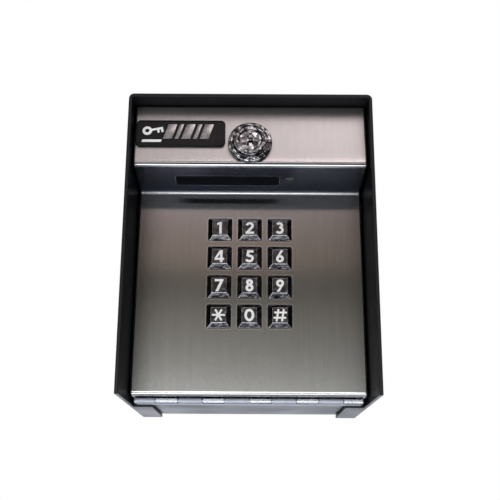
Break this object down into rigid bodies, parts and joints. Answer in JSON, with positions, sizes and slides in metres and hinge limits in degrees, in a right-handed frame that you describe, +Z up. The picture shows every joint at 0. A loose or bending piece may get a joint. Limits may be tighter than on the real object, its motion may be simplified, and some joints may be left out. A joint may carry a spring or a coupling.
{
  "type": "entry keypad",
  "caption": "Wall-mounted access keypad: hooded steel case, bottom-hinged bent stainless faceplate with raised metal keys, downlight slot and key-operated cam lock.",
  "frame": {"origin": "centre of the back face of the case, the face that stands against the wall", "axes": "+X to the right of a person facing the unit, +Y into the wall, +Z up"},
  "size_m": [0.14, 0.127, 0.172],
  "materials": {
    "powder_black": "black powder coat, satin, faint orange peel",
    "brushed_stainless": "stainless sheet with a straight vertical brushed grain",
    "zinc_steel": "bright zinc-plated steel",
    "chrome": "polished chrome plate",
    "dark_chrome": "dark plated die casting with white filled figures",
    "black_plastic": "black moulded plastic",
    "smoked_lens": "smoked translucent acrylic",
    "grey_rubber": "grey moulded silicone or rubber",
    "board_green": "green solder mask on glass-fibre board",
    "terminal_green": "green moulded nylon",
    "figure_white": "white filled enamel",
    "badge_silver": "satin silver print",
    "cable_grey": "grey PVC insulation"
  },
  "bodies": {
    "case": {"case_shell": "powder_black", "case_back": "powder_black", "bottom_plate": "powder_black", "cable_grommet": "grey_rubber", "ground_stud": "zinc_steel", "ground_nut": "zinc_steel", "lock_strike": "zinc_steel", "hinge_leaf_case": "zinc_steel", "hinge_pin": "zinc_steel"},
    "door": {"hinge_leaf_door": "zinc_steel", "door_panel": "brushed_stainless", "badge": "black_plastic", "light_lens": "smoked_lens", "status_led": "smoked_lens", "lamp_board": "board_green", "keypad_guide": "black_plastic", "key_membrane": "grey_rubber", "keypad_pcb": "board_green", "control_board": "board_green", "terminal_block": "terminal_green", "relay": "black_plastic", "ribbon_cable": "cable_grey", "lamp_cable": "cable_grey", "lock_housing": "chrome", "lock_nut": "zinc_steel", "board_spacer_1": "zinc_steel", "board_screw_1": "zinc_steel", "board_spacer_2": "zinc_steel", "board_screw_2": "zinc_steel", "board_spacer_3": "zinc_steel", "board_screw_3": "zinc_steel", "board_spacer_4": "zinc_steel", "board_screw_4": "zinc_steel"},
    "lock": {"lock_plug": "chrome", "lock_cam": "zinc_steel", "cam_screw": "zinc_steel"},
    "key_1": {"key_1": "dark_chrome"},
    "key_2": {"key_2": "dark_chrome"},
    "key_3": {"key_3": "dark_chrome"},
    "key_4": {"key_4": "dark_chrome"},
    "key_5": {"key_5": "dark_chrome"},
    "key_6": {"key_6": "dark_chrome"},
    "key_7": {"key_7": "dark_chrome"},
    "key_8": {"key_8": "dark_chrome"},
    "key_9": {"key_9": "dark_chrome"},
    "key_star": {"key_star": "dark_chrome"},
    "key_0": {"key_0": "dark_chrome"},
    "key_hash": {"key_hash": "dark_chrome"}
  },
  "joints": [
    {"name": "door_hinge", "type": "hinge", "parent": "case", "child": "door", "pos_m": [0, -0.081, -0.0843], "axis": [1, 0, 0], "range_deg": [0, 165]},
    {"name": "lock_turn", "type": "hinge", "parent": "door", "child": "lock", "pos_m": [0, -0.11853, 0.0586], "axis": [0, -0.9946, 0.104], "range_deg": [0, 90]},
    {"name": "key_1_press", "type": "slide", "parent": "door", "child": "key_1", "axis": [0, 0.9993, -0.0382], "range_m": [0, 0.0012], "stiffness_N_per_m": 400},
    {"name": "key_2_press", "type": "slide", "parent": "door", "child": "key_2", "axis": [0, 0.9993, -0.0382], "range_m": [0, 0.0012], "stiffness_N_per_m": 400},
    {"name": "key_3_press", "type": "slide", "parent": "door", "child": "key_3", "axis": [0, 0.9993, -0.0382], "range_m": [0, 0.0012], "stiffness_N_per_m": 400},
    {"name": "key_4_press", "type": "slide", "parent": "door", "child": "key_4", "axis": [0, 0.9993, -0.0382], "range_m": [0, 0.0012], "stiffness_N_per_m": 400},
    {"name": "key_5_press", "type": "slide", "parent": "door", "child": "key_5", "axis": [0, 0.9993, -0.0382], "range_m": [0, 0.0012], "stiffness_N_per_m": 400},
    {"name": "key_6_press", "type": "slide", "parent": "door", "child": "key_6", "axis": [0, 0.9993, -0.0382], "range_m": [0, 0.0012], "stiffness_N_per_m": 400},
    {"name": "key_7_press", "type": "slide", "parent": "door", "child": "key_7", "axis": [0, 0.9993, -0.0382], "range_m": [0, 0.0012], "stiffness_N_per_m": 400},
    {"name": "key_8_press", "type": "slide", "parent": "door", "child": "key_8", "axis": [0, 0.9993, -0.0382], "range_m": [0, 0.0012], "stiffness_N_per_m": 400},
    {"name": "key_9_press", "type": "slide", "parent": "door", "child": "key_9", "axis": [0, 0.9993, -0.0382], "range_m": [0, 0.0012], "stiffness_N_per_m": 400},
    {"name": "key_star_press", "type": "slide", "parent": "door", "child": "key_star", "axis": [0, 0.9993, -0.0382], "range_m": [0, 0.0012], "stiffness_N_per_m": 400},
    {"name": "key_0_press", "type": "slide", "parent": "door", "child": "key_0", "axis": [0, 0.9993, -0.0382], "range_m": [0, 0.0012], "stiffness_N_per_m": 400},
    {"name": "key_hash_press", "type": "slide", "parent": "door", "child": "key_hash", "axis": [0, 0.9993, -0.0382], "range_m": [0, 0.0012], "stiffness_N_per_m": 400}
  ]
}
